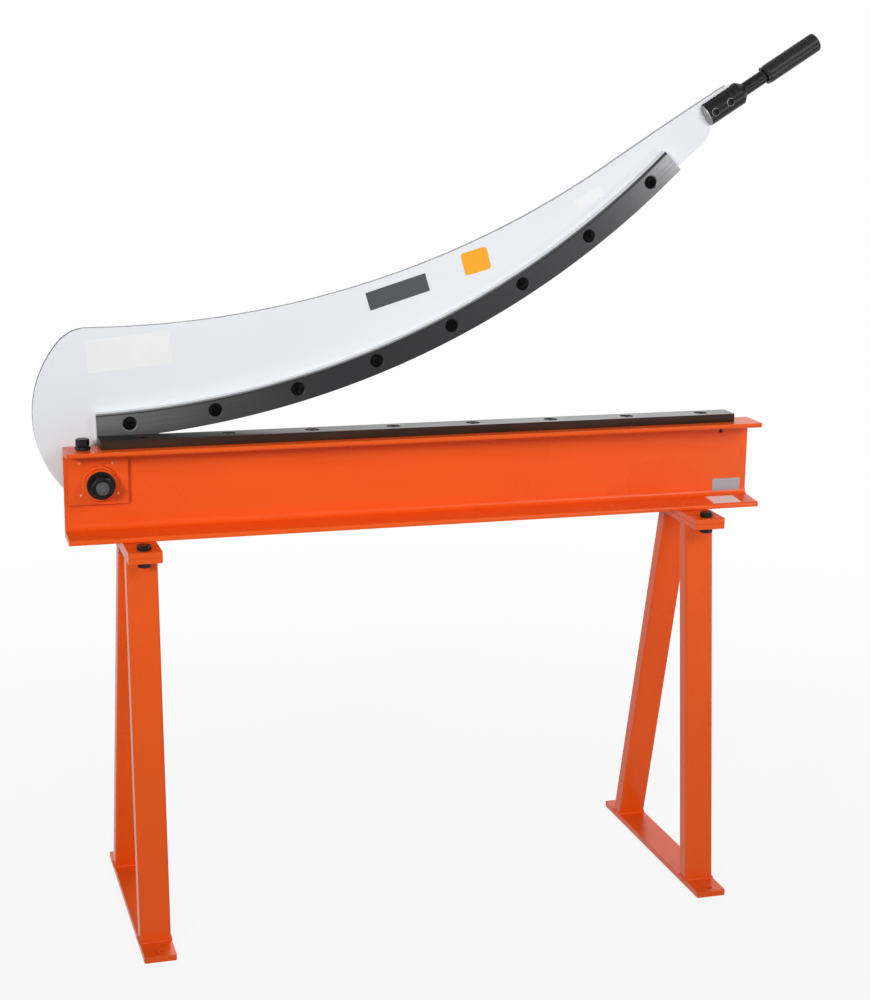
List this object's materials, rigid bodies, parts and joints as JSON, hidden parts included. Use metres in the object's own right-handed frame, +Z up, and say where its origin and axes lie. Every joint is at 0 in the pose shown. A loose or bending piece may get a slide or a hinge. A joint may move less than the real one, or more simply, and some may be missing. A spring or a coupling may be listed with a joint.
{
  "type": "guillotine shear",
  "caption": "Floor-standing lever shear for sheet metal: channel bed on two stands, straight lower blade, curved blade on a long pivoted arm with a grip.",
  "frame": {"origin": "on the floor, under the middle of the part's box, with the arm raised as in the rest pose", "axes": "+X along the bed from the pivot end to the handle end, +Y from the operator's side to the rear, +Z up"},
  "size_m": [1.2742, 0.4156, 1.3863],
  "materials": {
    "orange_paint": "glossy orange-red enamel over rolled steel",
    "white_paint": "semi-gloss cool white paint",
    "blade_steel": "dark ground tool steel, bright at the edges",
    "black_steel": "blackened steel",
    "bright_steel": "plain turned steel",
    "grip_plastic": "satin black moulded grip"
  },
  "bodies": {
    "stand_frame": {"bed_channel": "orange_paint", "pivot_pad": "orange_paint", "pivot_boss": "orange_paint", "pivot_front_washer": "black_steel", "pivot_nut": "black_steel", "pivot_bolt": "bright_steel", "pivot_rear_washer": "black_steel", "arm_spacer": "bright_steel", "flange_bolt": "black_steel", "flange_bolt_nut": "black_steel", "lower_blade": "blade_steel", "lower_blade_screw_1": "black_steel", "lower_blade_screw_2": "black_steel", "lower_blade_screw_3": "black_steel", "lower_blade_screw_4": "black_steel", "lower_blade_screw_5": "black_steel", "lower_blade_screw_6": "black_steel", "lower_blade_screw_7": "black_steel", "lower_blade_screw_8": "black_steel", "left_saddle_plate": "orange_paint", "left_head_plate": "orange_paint", "left_front_leg": "orange_paint", "left_rear_leg": "orange_paint", "left_base_plate": "orange_paint", "left_front_stand_bolt": "black_steel", "left_front_stand_nut": "black_steel", "left_rear_stand_bolt": "black_steel", "left_rear_stand_nut": "black_steel", "right_saddle_plate": "orange_paint", "right_head_plate": "orange_paint", "right_front_leg": "orange_paint", "right_rear_leg": "orange_paint", "right_base_plate": "orange_paint", "right_front_stand_bolt": "black_steel", "right_front_stand_nut": "black_steel", "right_rear_stand_bolt": "black_steel", "right_rear_stand_nut": "black_steel"},
    "swing_arm": {"arm_plate": "white_paint", "upper_blade": "blade_steel", "upper_blade_screw_1": "black_steel", "upper_blade_screw_2": "black_steel", "upper_blade_screw_3": "black_steel", "upper_blade_screw_4": "black_steel", "upper_blade_screw_5": "black_steel", "upper_blade_screw_6": "black_steel", "upper_blade_screw_7": "black_steel", "upper_blade_screw_8": "black_steel", "handle_socket": "black_steel", "socket_screw_1": "bright_steel", "socket_screw_2": "bright_steel", "handle_rod": "black_steel", "handle_grip": "grip_plastic"}
  },
  "joints": [
    {"name": "arm_swing", "type": "hinge", "parent": "stand_frame", "child": "swing_arm", "pos_m": [-0.54278, -0.0025, 0.7083], "axis": [0, 1, 0], "range_deg": [-20, 23.5]}
  ]
}
